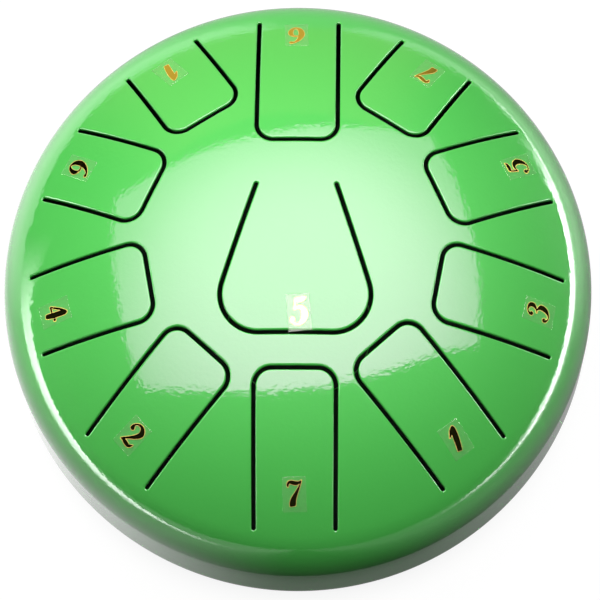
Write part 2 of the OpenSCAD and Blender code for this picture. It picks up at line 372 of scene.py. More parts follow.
@dataclass(frozen=True)
class Shape:
    """Side view of the closed drum in millimetres, and the surfaces it gives."""

    drum_r: float = 127.0
    sheet_t: float = 2.0
    slot_w: float = 1.8
    dome_r: float = 185.0
    shoulder_r: float = 32.0
    wall_h: float = 28.0
    base_r: float = 600.0
    base_shoulder_r: float = 32.0
    foot_stand: float = 6.0
    sound_hole_r: float = 32.0
    edge_r: float = 0.7
    rim_r: float = 118.0
    turns: int = 360
    wall_rows: int = 5
    shoulder_rows: int = 19
    base_shoulder_rows: int = 28
    dish_rows: int = 16

    @property
    def base_z(self) -> float:
        """Height of the middle of the base's dish."""
        return self.foot_stand + self.base_r

    @property
    def base_span(self) -> float:
        """Angle at which the dish meets its shoulder."""
        ring = self.drum_r - self.base_shoulder_r
        return math.asin(ring / (self.base_r - self.base_shoulder_r))

    @property
    def base_shoulder_z(self) -> float:
        """Height of the middle of the base's shoulder."""
        return self.base_z - (self.base_r - self.base_shoulder_r) * math.cos(self.base_span)

    @property
    def seam_z(self) -> float:
        """Height at which the two shells meet."""
        return self.base_shoulder_z + self.wall_h / 2

    @property
    def shoulder_z(self) -> float:
        """Height of the middle of the top's shoulder."""
        return self.base_shoulder_z + self.wall_h

    @property
    def dome_span(self) -> float:
        """Angle at which the dome meets its shoulder."""
        return math.asin((self.drum_r - self.shoulder_r) / (self.dome_r - self.shoulder_r))

    @property
    def dome_z(self) -> float:
        """Height of the middle of the dome."""
        return self.shoulder_z - (self.dome_r - self.shoulder_r) * math.cos(self.dome_span)

    def raise_to(self, plan: np.ndarray, inset: float) -> tuple[np.ndarray, np.ndarray]:
        """Lift plan points to the domed top.

        Args:
            plan: Points in the plane.
            inset: Distance inwards from the outer face.

        Returns:
            Points on the surface and the surface's outward normals there.
        """
        r = np.linalg.norm(plan, axis=1)
        ball = self.dome_r - inset
        tube = self.shoulder_r - inset
        ring = self.drum_r - self.shoulder_r
        on_dome = r <= ball * math.sin(self.dome_span)
        dome_rise = np.sqrt(ball ** 2 - np.where(on_dome, r, 0.0) ** 2)
        tube_rise = np.sqrt(tube ** 2 - np.where(on_dome, 0.0, r - ring) ** 2)
        z = np.where(on_dome, self.dome_z + dome_rise, self.shoulder_z + tube_rise)
        share = np.where(on_dome, 1.0 / ball, (r - ring) / (tube * np.maximum(r, 1e-9)))
        normal = np.stack([plan[:, 0] * share, plan[:, 1] * share,
                           np.where(on_dome, dome_rise / ball, tube_rise / tube)], axis=1)
        return np.column_stack([plan, z]), unit(normal)

    def around(self) -> np.ndarray:
        """Give the plan directions of the points of a ring."""
        angles = np.linspace(0.0, 2 * math.pi, self.turns, endpoint=False)
        return np.stack([np.cos(angles), np.sin(angles)], axis=1)

    def spin(self, profile: Sequence[tuple[float, float, float, float]],
             inner: bool = False) -> tuple[list[np.ndarray], list[np.ndarray]]:
        """Turn points of a side view into rings.

        Args:
            profile: Radius, height and outward normal of each point.
            inner: Whether the face looks into the drum, so that its normals turn round.

        Returns:
            Rings of points and of normals.
        """
        ways, sign = self.around(), -1.0 if inner else 1.0
        level = np.ones(self.turns)
        rings = [np.column_stack([r * ways, z * level]) for r, z, _, _ in profile]
        normals = [sign * np.column_stack([a * ways, b * level]) for _, _, a, b in profile]
        return rings, normals

    def upper_side(self, inset: float) -> list[tuple[float, float, float, float]]:
        """Draw the side view from the rim of the plan region down to the seam.

        Args:
            inset: Distance inwards from the outer face.

        Returns:
            Radius, height and normal of each point, the first one on the rim.
        """
        tube, ring = self.shoulder_r - inset, self.drum_r - self.shoulder_r
        start = math.acos((self.rim_r - ring) / tube)
        rows = [(ring + tube * math.cos(a), self.shoulder_z + tube * math.sin(a),
                 math.cos(a), math.sin(a)) for a in np.linspace(start, 0.0, self.shoulder_rows)]
        rows += [(self.drum_r - inset, z, 1.0, 0.0)
                 for z in np.linspace(self.shoulder_z, self.seam_z, self.wall_rows)[1:]]
        return rows

    def lower_side(self, inset: float, hole_r: float) -> list[tuple[float, float, float, float]]:
        """Draw the side view from the seam down to the sound hole.

        Args:
            inset: Distance inwards from the outer face.
            hole_r: Radius at which the dish ends.

        Returns:
            Radius, height and normal of each point, the first one at the seam.
        """
        tube, ring = self.base_shoulder_r - inset, self.drum_r - self.base_shoulder_r
        rows = [(self.drum_r - inset, z, 1.0, 0.0)
                for z in np.linspace(self.seam_z, self.base_shoulder_z, self.wall_rows)[:-1]]
        angles = np.linspace(0.0, self.base_span - math.pi / 2, self.base_shoulder_rows)
        rows += [(ring + tube * math.cos(a), self.base_shoulder_z + tube * math.sin(a),
                  math.cos(a), math.sin(a)) for a in angles]
        ball = self.base_r - inset
        ends = ball * math.sin(self.base_span), hole_r
        rows += [(r, self.base_z - math.sqrt(ball ** 2 - r ** 2), r / ball,
                  -math.sqrt(1 - (r / ball) ** 2)) for r in np.linspace(*ends, self.dish_rows)[1:]]
        return rows


@dataclass(frozen=True)
class Note:
    """One tongue: where it lies, how long it is and how its film was stuck on."""

    name: str
    angle: float
    length: float
    digit: int
    film_back: float
    film_aside: float
    film_turn: float
    root: float
    root_half: float
    tip_half: float
    corner_r: float
    central: bool = False

    @property
    def body(self) -> str:
        """Name of the body that the tongue's film and numeral ride on."""
        return f"{Part.TONGUE.value}_{self.name}"

    @property
    def corner(self) -> np.ndarray:
        """Middle of the right free corner, from the middle of the root."""
        return np.array([self.tip_half, self.length - self.corner_r])

    @property
    def side_angle(self) -> float:
        """Direction square to the right-hand slot, in radians."""
        away = self.corner - np.array([self.root_half, 0.0])
        return math.atan2(away[1], away[0]) - math.acos(-self.corner_r / np.linalg.norm(away))

    def to_plan(self, local: np.ndarray) -> np.ndarray:
        """Move points from the tongue's own axes to the drum's plan.

        Args:
            local: Points across and along the tongue from the middle of its root.

        Returns:
            Points in the plan of the drum.
        """
        turn = math.radians(self.angle + 90.0)
        moved = local - np.array([0.0, self.root])
        c, s = math.cos(turn), math.sin(turn)
        return moved @ np.array([[c, s], [-s, c]])

    def ways_to_plan(self, ways: np.ndarray) -> np.ndarray:
        """Turn directions from the tongue's own axes to the drum's plan."""
        return self.to_plan(ways) - self.to_plan(np.zeros((1, 2)))

    def edge(self, grow: float, with_end: bool) -> tuple[np.ndarray, np.ndarray]:
        """Draw one side of the slot, from the left end of the root to the right one.

        Args:
            grow: Distance outwards from the middle of the slot.
            with_end: Whether the slot's round ends belong to this side.

        Returns:
            Points of the side in plan and unit directions into the metal.
        """
        n = direction(self.side_angle)
        foot = np.array([self.root_half, 0.0])
        radius = self.corner_r + grow
        sign = 1.0 if grow > 0 else -1.0
        points, ways = [], []
        if with_end:
            end, rays = arc(foot, abs(grow), self.side_angle - math.pi, self.side_angle,
                            END_STEP)
            points.append(end[:-1])
            ways.append(rays[:-1])
        a, b = foot + grow * n, self.corner + radius * n
        steps = math.ceil(np.linalg.norm(b - a) / SIDE_STEP)
        points.append(a + np.linspace(0.0, 1.0, steps, endpoint=False)[:, None] * (b - a))
        ways.append(np.tile(sign * n, (steps, 1)))
        bend, rays = arc(self.corner, radius, self.side_angle, math.pi / 2, CORNER_STEP)
        points.append(bend)
        ways.append(sign * rays)
        steps = math.ceil(self.tip_half / SIDE_STEP)
        tip = np.array([self.tip_half, self.length + grow])
        points.append(tip * np.column_stack([np.linspace(1.0, 0.0, steps + 1)[1:], np.ones(steps)]))
        ways.append(np.tile([0.0, sign], (steps, 1)))
        right, right_ways = np.concatenate(points), np.concatenate(ways)
        mirror = np.array([-1.0, 1.0])
        whole = np.concatenate([right * mirror, right[-2::-1]])
        whole_ways = np.concatenate([right_ways * mirror, right_ways[-2::-1]])
        return self.to_plan(whole), self.ways_to_plan(whole_ways)


RADIAL = dict(root=math.sqrt(113.1 ** 2 - 17.15 ** 2), root_half=17.15, tip_half=17.15 - 7.4,
              corner_r=7.4)
NOTES = (
    Note("low_5", 90.0, 64.2, 5, 0.0, 0.16, 5, 28.0, 16.9, 31.5 - 16.3, 16.3, True),
    Note("low_6", 90.0, 62.8, 6, 0.46, -0.09, 2, **RADIAL),
    Note("low_7", -90.0, 61.3, 7, 0.77, 0.0, 2, **RADIAL),
    Note("mid_1", 90.0 - 138.0, 59.2, 1, 0.67, 0.04, -4, **RADIAL),
    Note("mid_2", 90.0 + 138.0, 55.8, 2, 0.68, 0.08, -6, **RADIAL),
    Note("mid_3", 90.0 - 100.4, 51.2, 3, 0.46, 0.05, -1, **RADIAL),
    Note("mid_4", 90.0 + 100.4, 49.2, 4, 0.48, -0.19, 4, **RADIAL),
    Note("mid_5", 90.0 - 65.0, 46.3, 5, 0.46, -0.11, 2, **RADIAL),
    Note("mid_6", 90.0 + 65.0, 44.6, 6, 0.55, -0.01, -3, **RADIAL),
    Note("mid_7", 90.0 - 32.0, 41.3, 7, 0.55, 0.11, -2, **RADIAL),
    Note("high_1", 90.0 + 32.0, 39.8, 1, 0.55, -0.07, 8, **RADIAL),
)


@dataclass
class Cut:
    """One side of a slot as rings of points, from the face of the sheet down to its cut wall."""

    points: list[np.ndarray]
    normals: list[np.ndarray]
    underside: list[np.ndarray]
    under_normals: np.ndarray
    wall: np.ndarray

    @classmethod
    def make(cls, shape: Shape, note: Note, tongue_side: bool) -> "Cut":
        """Work out the rounded edge and the wall along one side of a slot.

        Args:
            shape: The drum's side view.
            note: The tongue.
            tongue_side: Whether this is the tongue's side or the shell's.

        Returns:
            The cut.
        """
        half = shape.slot_w / 2
        edge, ways = note.edge(-half if tongue_side else half, not tongue_side)
        wall = np.column_stack([-ways, np.zeros(len(ways))])
        points, normals = [], []
        for a in QUARTER:
            plan = edge + shape.edge_r * (1 - math.sin(a)) * ways
            top, up = shape.raise_to(plan, 0.0)
            top[:, 2] -= shape.edge_r * (1 - math.cos(a))
            points.append(top)
            normals.append(unit(math.cos(a) * up + math.sin(a) * wall))
        low, _ = shape.raise_to(edge, shape.sheet_t)
        low_in, under = shape.raise_to(edge + shape.edge_r * ways, shape.sheet_t)
        return cls(points, normals, [low, low_in], -under, wall)

    def mouth(self) -> np.ndarray:
        """Give the outermost ring in plan, which bounds the smooth face."""
        return self.points[0][:, :2]


@dataclass
class Skin:
    """A piece of the domed sheet: its face, its underside and the cuts around it."""

    shape: Shape
    draft: Draft = field(default_factory=Draft)

    def root_line(self, cut: Cut) -> np.ndarray:
        """Give the points between the ends of a cut, where tongue and shell meet."""
        a, b = cut.mouth()[-1], cut.mouth()[0]
        return a + np.linspace(0.0, 1.0, ROOT_POINTS + 2)[1:-1, None] * (b - a)

    def cover(self, fill: PlanFill, inset: float) -> tuple[np.ndarray, np.ndarray]:
        """Add one face of the sheet.

        Args:
            fill: Its triangles in plan.
            inset: Distance inwards from the outer face.

        Returns:
            Numbers of its points and the outward normals there.
        """
        points, up = self.shape.raise_to(fill.points, inset)
        # The underside, inside the drum, gets mask 1: painted shade there
        rows = self.draft.add(points, float(inset > 0.0))
        normals = up if inset == 0.0 else -up
        self.draft.fill(fill.triangles, rows, normals)
        return rows, normals

    def finish_cut(self, cut: Cut, top: np.ndarray, under: np.ndarray, root_top: np.ndarray,
                   root_under: np.ndarray, away: np.ndarray) -> None:
        """Add the rounded edge, the wall and the cut through the root along one side of a slot.

        Args:
            cut: The side of the slot.
            top: Numbers of the face's points along it.
            under: Numbers of the underside's points along it.
            root_top: Numbers of the face's points along the root.
            root_under: Numbers of the underside's points along the root.
            away: Direction out of the metal at the root.
        """
        draft = self.draft
        rows = [top] + [draft.add(ring) for ring in cut.points[1:]]
        for k in range(len(rows) - 1):
            draft.strip(rows[k], rows[k + 1], cut.normals[k], cut.normals[k + 1])
        # The cut's lowest ring gets mask 1: painted shade inside the drum
        low = draft.add(cut.underside[0], 1.0)
        draft.strip(rows[-1], low, cut.wall, cut.wall)
        draft.strip(low, under, cut.under_normals, cut.under_normals)
        line_top = np.concatenate([[top[-1]], root_top, [top[0]]])
        line_under = np.concatenate([[under[-1]], root_under, [under[0]]])
        facing = np.tile(away, (len(line_top), 1))
        draft.strip(line_top, line_under, facing, facing)
        for end in (0, -1):
            draft.cap([row[end] for row in rows] + [low[end], under[end]], away)


@dataclass
class TopShell:
    """The upper shell: dome with eleven openings, shoulder and upper half of the wall."""

    shape: Shape

    def build(self) -> bpy.types.Object:
        """Build its mesh.

        Returns:
            The object.
        """
        shape = self.shape
        skin = Skin(shape)
        rim = shape.rim_r * shape.around()
        cuts = [Cut.make(shape, note, False) for note in NOTES]
        lines = [skin.root_line(cut) for cut in cuts]
        holes = [np.concatenate([cut.mouth(), line]) for cut, line in zip(cuts, lines)]

        def keep(points: np.ndarray) -> np.ndarray:
            """Tell which points lie on the sheet.

            Args:
                points: Points in plan.

            Returns:
                One truth value for each point.
            """
            inner = inside(points, rim)
            for hole in holes:
                inner &= ~inside(points, hole)
            return inner

        fill = PlanFill.between([rim] + holes, FACE_STEP, keep, FACE_CLEAR)
        faces = [skin.cover(fill, inset) for inset in (0.0, shape.sheet_t)]
        first = len(rim)
        for note, cut, line in zip(NOTES, cuts, lines):
            count, extra = len(cut.mouth()), len(line)
            at = fill.place[first:first + count]
            at_root = fill.place[first + count:first + count + extra]
            away = np.append(note.ways_to_plan(np.array([[0.0, 1.0]]))[0], 0.0)
            skin.finish_cut(cut, faces[0][0][at], faces[1][0][at], faces[0][0][at_root],
                            faces[1][0][at_root], away)
            first += count + extra
        draft = skin.draft
        ends = []
        for (rows, _), inset in zip(faces, (0.0, shape.sheet_t)):
            inner = inset > 0.0
            rings, ways = shape.spin(shape.upper_side(inset), inner)
            # The inner rings get mask 1: painted shade inside the drum
            ends.append(draft.tube(rings, ways, float(inner), rows[fill.place[:len(rim)]])[-1])
        down = np.tile([0.0, 0.0, -1.0], (shape.turns, 1))
        draft.strip(ends[0], ends[1], down, down, True)
        return draft.build(Part.TOP_SHELL.piece())


@dataclass
class BottomShell:
    """The lower shell: lower half of the wall, dished base and sound hole."""

    shape: Shape

    def build(self) -> bpy.types.Object:
        """Build its mesh.

        Returns:
            The object.
        """
        shape, draft = self.shape, Draft()
        hole, edge = shape.sound_hole_r, shape.edge_r
        up = np.tile([0.0, 0.0, 1.0], (shape.turns, 1))
        ends = []
        for inset in (0.0, shape.sheet_t):
            inner = inset > 0.0
            rings, ways = shape.spin(shape.lower_side(inset, hole + edge), inner)
            # The inner rings get mask 1: painted shade inside the drum
            rows = draft.tube(rings, ways, float(inner))
            ends.append((rows[0], rows[-1], rings[-1], ways[-1]))
        (seam_out, row_out, ring_out, ways_out), (seam_in, row_in, ring_in, ways_in) = ends
        draft.strip(seam_out, seam_in, up, up, True)
        lip = [(hole + edge * (1 - math.sin(a)), ring_out[0][2] + edge * (1 - math.cos(a)),
                -math.sin(a), -math.cos(a)) for a in QUARTER[1:]]
        lip += [(hole + edge * (1 - math.cos(a)), ring_in[0][2] - edge * (1 - math.sin(a)),
                 -math.cos(a), math.sin(a)) for a in QUARTER[:-1]]
        rings, ways = shape.spin(lip)
        rows = draft.tube([ring_out, *rings], [ways_out, *ways], row=row_out)
        draft.strip(rows[-1], row_in, ways[-1], ways_in, True)
        return draft.build(Part.BOTTOM_SHELL.piece())


@dataclass
class Tongue:
    """A tongue inside its slot, joined to the shell at its root without a seam."""

    shape: Shape
    note: Note

    def build(self) -> bpy.types.Object:
        """Build its mesh.

        Returns:
            The object.
        """
        skin = Skin(self.shape)
        cut = Cut.make(self.shape, self.note, True)
        line = skin.root_line(cut)
        loop = np.concatenate([cut.mouth(), line])
        fill = PlanFill.between([loop], FACE_STEP, lambda points: inside(points, loop), FACE_CLEAR)
        faces = [skin.cover(fill, inset)[0] for inset in (0.0, self.shape.sheet_t)]
        at = fill.place[:len(cut.mouth())]
        at_root = fill.place[len(cut.mouth()):len(loop)]
        away = np.append(self.note.ways_to_plan(np.array([[0.0, -1.0]]))[0], 0.0)
        skin.finish_cut(cut, faces[0][at], faces[1][at], faces[0][at_root], faces[1][at_root], away)
        return skin.draft.build(Part.TONGUE.piece(self.note.name))

    def bend(self, obj: bpy.types.Object, reach: float = 14.0) -> None:
        """Work out where the tongue's bend would start and end, and bake its transform; the tongue
        is not set to bend.

        Args:
            obj: The tongue's object.
            reach: Length over which it would bend, in millimetres.
        """
        start, _ = self.shape.raise_to(self.note.to_plan(np.array([[0.0, 0.0]])), 0.0)
        end, _ = self.shape.raise_to(self.note.to_plan(np.array([[0.0, reach]])), 0.0)
        self.note.body
        tuple(start[0] * MM)
        tuple(end[0] * MM)
        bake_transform(obj)


# Strokes of the numerals as in the CAD part: points with the pen's width, in hundredths of
# the height
STROKES = {
    1: [[(14, 50, 5), (10, 36, 17), (4, 5, 19), (-4, -28, 18), (-10, -49, 15)], [(-18, 14, 4),
         (-8, 24, 9), (2, 36, 12), (12, 48, 5)]],
    2: [[(-15, 9, 4), (-17, 16, 15), (-20, 25, 12), (-18, 36, 7), (-5, 46, 9), (12, 43, 14),
         (22, 24, 18), (12, 2, 14), (-6, -20, 9), (-24, -42, 6)], [(-27, -44, 4), (-14, -38, 13),
         (2, -42, 15), (16, -41, 12), (27, -26, 3)]],
    3: [[(-12, 20, 4), (-14, 27, 14), (-16, 35, 10), (-11, 43, 6), (0, 47, 8), (15, 40, 14),
         (17, 24, 14), (4, 10, 7), (-8, 6, 5)], [(-2, 8, 4), (8, 5, 8), (18, -8, 17),
         (14, -30, 16), (0, -45, 9), (-14, -46, 6), (-23, -38, 10), (-22, -29, 15),
         (-19, -22, 4)]],
    4: [[(13, 48, 6), (-2, 26, 8), (-16, 0, 8), (-26, -17, 5)], [(-28, -17, 9), (-10, -17, 8),
         (12, -15, 6), (19, -13, 8), (25, -11, 12), (31, -8, 4)], [(14, 50, 6), (13, 38, 16),
         (9, 0, 18), (4, -34, 17), (1, -49, 12)]],
    5: [[(-10, 42, 10), (4, 40, 14), (17, 42, 12), (27, 50, 3)], [(-8, 45, 6), (-11, 26, 7),
         (-15, 6, 6)], [(-17, 6, 5), (-2, 14, 9), (13, 9, 15), (20, -10, 18), (12, -33, 14),
         (-3, -46, 8), (-17, -44, 6), (-25, -35, 10), (-24, -26, 15), (-20, -19, 4)]],
    6: [[(29, 42, 3), (22, 43, 12), (14, 43, 8), (5, 39, 8), (-8, 24, 13), (-18, -4, 18),
         (-14, -32, 15), (2, -46, 8), (16, -36, 12), (22, -14, 15), (14, 3, 10)], [(18, 0, 9),
         (3, 6, 7), (-10, 0, 5), (-19, -10, 4)]],
    7: [[(-22, 22, 3), (-22, 34, 9), (-18, 45, 7)], [(-22, 42, 8), (-10, 42, 13), (6, 38, 14),
         (18, 41, 9), (27, 50, 3)], [(26, 48, 4), (20, 30, 6), (8, 4, 11), (-3, -20, 17),
         (-7, -40, 20), (-6, -50, 16)]],
}


@dataclass(frozen=True)
class Sticker:
    """Sizes of a film and its numeral and the place that a note's film has on the dome."""

    shape: Shape
    note: Note
    film_w: float = 10.0
    film_l: float = 15.8
    film_t: float = 0.15
    numeral_h: float = 11.8
    numeral_rise: float = 0.5
    foil_t: float = 0.1
    rim_w: float = 0.2
    pen_share: float = 1.28

    def place(self) -> Matrix:
        """Give the place of the film on the dome.

        Returns:
            The matrix from the film's own axes to the drum, in millimetres.
        """
        note, shape = self.note, self.shape
        back = note.length - self.film_l / 2 if note.central else note.film_back * self.film_l
        lean = math.asin((note.root - back) / shape.dome_r)
        aside = math.asin(note.film_aside * self.film_w / shape.dome_r)
        turn = math.radians(note.film_turn + (0.0 if note.central else 180.0))
        return (Matrix.Translation((0.0, 0.0, shape.dome_z))
                @ Matrix.Rotation(math.radians(note.angle - 90.0), 4, "Z")
                @ Matrix.Rotation(-lean, 4, "X") @ Matrix.Rotation(aside, 4, "Y")
                @ Matrix.Rotation(turn, 4, "Z"))

    def strokes(self) -> list[np.ndarray]:
        """Draw the numeral's strokes.

        Returns:
            Closed loops in millimetres.
        """
        loops = []
        for shares in STROKES[self.note.digit]:
            p = np.array(shares) / 100
            last = len(p) - 1
            path = []
            for k in range(last):
                a, b, c, d = p[max(k - 1, 0)], p[k], p[k + 1], p[min(k + 2, last)]
                for t in (0.0, 0.25, 0.5, 0.75):
                    bend, twist = 2 * a - 5 * b + 4 * c - d, 3 * b - a - 3 * c + d
                    path.append((2 * b + (c - a) * t + bend * t ** 2 + twist * t ** 3) / 2)
            path = np.array(path + [p[last]])
            run = np.concatenate([path[1:2] - path[:1], path[2:] - path[:-2],
                                  path[-1:] - path[-2:-1]])[:, :2]
            square = unit(np.stack([-run[:, 1], run[:, 0]], axis=1))
            square = square * path[:, 2:3] * self.pen_share / 2
            loops.append(np.concatenate([path[:, :2] + square, (path[:, :2] - square)[::-1]]))
        return [loop * self.numeral_h + np.array([0.0, self.numeral_rise]) for loop in loops]

    def numeral(self) -> bpy.types.Object:
        """Build the foil numeral, whose mask marks a rim along its outline.

        Returns:
            The object.
        """
        loops = self.strokes()

        def keep(points: np.ndarray) -> np.ndarray:
            """Tell which points lie on a stroke."""
            return np.any([inside(points, loop) for loop in loops], axis=0)

        fill = PlanFill.between(loops, FOIL_STEP, keep, FOIL_CLEAR)
        rim = fill.rim()
        away = nearest(fill.points, fill.points[rim[:, 0]], fill.points[rim[:, 1]])
        away[np.unique(rim)] = 0.0
        ball = self.shape.dome_r + self.film_t
        bed = np.sqrt(ball ** 2 - (fill.points ** 2).sum(axis=1))
        draft = Draft()
        top = draft.add(np.column_stack([fill.points, bed + self.foil_t]),
                        np.clip(1 - away / self.rim_w, 0.0, 1.0))
        under = draft.add(np.column_stack([fill.points, bed]))
        up = unit(np.column_stack([fill.points, bed]))
        draft.fill(fill.triangles, top, up)
        draft.fill(fill.triangles, under, -up)
        for a, b in rim:
            run = fill.points[b] - fill.points[a]
            draft.cap([top[a], top[b], under[b], under[a]], np.array([run[1], -run[0], 0.0]))
        obj = draft.build(Part.NUMERAL.piece(self.note.name))
        obj.data.transform(scaled(self.place()))
        return obj


def scaled(matrix: Matrix) -> Matrix:
    """Turn a matrix in millimetres into one in metres.

    Args:
        matrix: Turn and shift in millimetres.

    Returns:
        The same turn with the shift in metres.
    """
    result = matrix.copy()
    result.translation = matrix.translation * MM
    return result


def operators(operation: str) -> tuple[Callable[..., "Wire"], Callable[..., "Wire"]]:
    """Make an operator for wires.

    Args:
        operation: What the Math node does.

    Returns:
        The operator's own form and the reflected one, for a number on the left.
    """
    def own(wire: "Wire", other: "Wire | float") -> "Wire":
        """Calculate with the wire on the left."""
        return wire.calculate(operation, wire, other)

    def reflected(wire: "Wire", other: "Wire | float") -> "Wire":
        """Calculate with the wire on the right."""
        return wire.calculate(operation, other, wire)

    return own, reflected


class Wire:
    """A node's output that takes part in sums, which add Math nodes to its tree."""

    def __init__(self, graph: "Graph", socket: bpy.types.NodeSocket) -> None:
        """Keep a socket and the graph that its sums are added to."""
        self.graph = graph
        self.socket = socket

    def calculate(self, operation: str, *values: "Wire | float") -> "Wire":
        """Add a Math node with these values."""
        return self.graph.add("Math", dict(enumerate(values)), operation=operation)[0]

    __add__, __radd__ = operators("ADD")
    __sub__, __rsub__ = operators("SUBTRACT")
    __mul__, __rmul__ = operators("MULTIPLY")
    __truediv__, __rtruediv__ = operators("DIVIDE")
    __pow__, __rpow__ = operators("POWER")

    def __neg__(self) -> "Wire":
        """Give the negative."""
        return self.calculate("MULTIPLY", self, -1.0)

    def root(self) -> "Wire":
        """Take the square root."""
        return self.calculate("SQRT", self)

    def most(self, other: "Wire | float") -> "Wire":
        """Take the larger of two values."""
        return self.calculate("MAXIMUM", self, other)

    def ramp(self, start: float, end: float) -> "Wire":
        """Rise smoothly from 0 at start to 1 at end."""
        return self.graph.add("MapRange", {"Value": self, "From Min": start, "From Max": end},
                              interpolation_type="SMOOTHSTEP")["Result"]


class Outputs:
    """The outputs of a node, by name or by place."""

    def __init__(self, graph: "Graph", node: bpy.types.Node) -> None:
        """Keep a node and its graph."""
        self.graph = graph
        self.node = node

    def __getitem__(self, key: str | int) -> Wire:
        """Give one output."""
        return Wire(self.graph, self.node.outputs[key])


class Graph:
    """A node tree that nodes are added to."""

    def __init__(self, tree: bpy.types.NodeTree, family: str) -> None:
        """Keep a tree and the prefix of its own nodes' types."""
        self.tree = tree
        self.family = family

    def add(self, kind: str, sockets: dict[str | int, object] | None = None,
            **settings: object) -> Outputs:
        """Add a node.

        Args:
            kind: Type of the node, without its family's prefix where it has one.
            sockets: Values or wires for its inputs.
            settings: Properties, which are set before the sockets.

        Returns:
            Its outputs.
        """
        for prefix in (self.family, "ShaderNode", ""):
            if hasattr(bpy.types, prefix + kind):
                node = self.tree.nodes.new(prefix + kind)
                break
        for name, value in settings.items():
            setattr(node, name, value)
        for key, value in (sockets or {}).items():
            if isinstance(value, Wire):
                self.tree.links.new(value.socket, node.inputs[key])
            else:
                node.inputs[key].default_value = value
        return Outputs(self, node)

    def parts(self, vector: Wire) -> tuple[Wire, Wire, Wire]:
        """Split a vector into its three coordinates."""
        split = self.add("SeparateXYZ", {0: vector})
        return split["X"], split["Y"], split["Z"]

    def attribute(self, name: str) -> Wire:
        """Read an attribute of the mesh."""
        return self.add("Attribute", attribute_name=name)["Fac"]

    def mix(self, share: Wire, first: object, second: object) -> Wire:
        """Mix two colours, with the second one's share."""
        return self.add("Mix", {0: share, 6: first, 7: second}, data_type="RGBA")[2]


def fresh_graph(owner: bpy.types.Material | bpy.types.World) -> Graph:
    """Empty the node tree of a material or world.

    Args:
        owner: The material or world.

    Returns:
        Its tree, ready for nodes.
    """
    owner.use_nodes = True
    owner.node_tree.nodes.clear()
    return Graph(owner.node_tree, "ShaderNode")


@dataclass(frozen=True)
class Finish:
    """A finish of one material slot."""

    slot: str
    colour: tuple[float, float, float]
    roughness: float
    metallic: float = 0.0

    def surface(self, graph: Graph) -> dict[str, object]:
        """Give the shader's sockets."""
        return {"Base Color": (*self.colour, 1.0), "Roughness": self.roughness,
                "Metallic": self.metallic}

    def noise(self, graph: Graph, scale: float, detail: float = 2.0) -> Wire:
        """Add a noise pattern that follows the object."""
        return graph.add("TexNoise", {"Vector": graph.add("TexCoord")["Object"],
                                      "Scale": scale, "Detail": detail})[0]

    def bump(self, graph: Graph, height: Wire, depth: float) -> Wire:
        """Turn a pattern into relief."""
        return graph.add("Bump", {"Height": height, "Distance": depth, "Strength": 1.0})["Normal"]

    def material(self) -> bpy.types.Material:
        """Build the material.

        Returns:
            The material.
        """
        result = bpy.data.materials.new(self.slot)
        graph = fresh_graph(result)
        shader = graph.add("BsdfPrincipled", self.surface(graph))["BSDF"]
        graph.add("OutputMaterial", {"Surface": shader})
        return result


@dataclass(frozen=True)
class GlossPaint(Finish):
    """Clear-coated green paint with orange peel, darkened inside the drum as painted shade."""

    peel: float = 4.5e-5
    peel_scale: float = 560.0
    waves: float = 3.0e-5
    wave_scale: float = 28.0
    tone: float = 0.93
    tone_scale: float = 9.0
    # Colour inside the drum: painted shade, dark so that the slots read black
    inside: tuple[float, float, float] = (0.01, 0.03, 0.012)

    def surface(self, graph: Graph) -> dict[str, object]:
        """Give the shader's sockets, coated outside, and inside the drum uncoated and darkened as
        painted shade.

        Args:
            graph: The material's tree.

        Returns:
            Values and wires for the Principled shader.
        """
        fine = self.noise(graph, self.peel_scale)
        broad = self.noise(graph, self.wave_scale, 1.0)
        patches = self.noise(graph, self.tone_scale, 1.0)
        dark = (self.tone * c for c in self.colour)
        outer = graph.mix(patches, (*dark, 1.0), (*self.colour, 1.0))
        # The mask is 1 inside the drum, where the colour turns to the painted shade and the coat is
        # left off
        inner = graph.attribute("mask")
        relief = self.bump(graph, fine * self.peel + broad * self.waves, 1.0)
        return {"Base Color": graph.mix(inner, outer, (*self.inside, 1.0)),
                "Roughness": self.roughness, "Metallic": self.metallic,
                "Specular IOR Level": 0.08, "Coat Weight": 1.0 - inner, "Coat Roughness": 0.03,
                "Coat IOR": 1.5, "Normal": relief, "Coat Normal": relief}


@dataclass(frozen=True)
class GoldFoil(Finish):
    """Mirror-bright gold foil with faint wrinkles and a duller rim."""

    rim_roughness: float = 0.75
    wrinkles: float = 3.0e-5
    wrinkle_scale: float = 420.0

    def surface(self, graph: Graph) -> dict[str, object]:
        """Give the shader's sockets, duller where the mask is 1.

        Args:
            graph: The material's tree.

        Returns:
            Values and wires for the Principled shader.
        """
        rough = graph.attribute("mask") * self.rim_roughness + self.roughness
        return {**super().surface(graph), "Roughness": rough,
                "Normal": self.bump(graph, self.noise(graph, self.wrinkle_scale), self.wrinkles)}


@dataclass(frozen=True)
class ClearFilm(Finish):
    """Thin clear film that shows by its sheen and a slight haze."""

    alpha: float = 0.13
    haze: float = 0.1
    haze_scale: float = 700.0
    ripple: float = 3.0e-5
    ripple_scale: float = 160.0

    def surface(self, graph: Graph) -> dict[str, object]:
        """Give the shader's sockets, with uneven haze.

        Args:
            graph: The material's tree.

        Returns:
            Values and wires for the Principled shader.
        """
        alpha = self.noise(graph, self.haze_scale) * self.haze + (self.alpha - self.haze / 2)
        return {**super().surface(graph), "Alpha": alpha,
                "Normal": self.bump(graph, self.noise(graph, self.ripple_scale), self.ripple)}


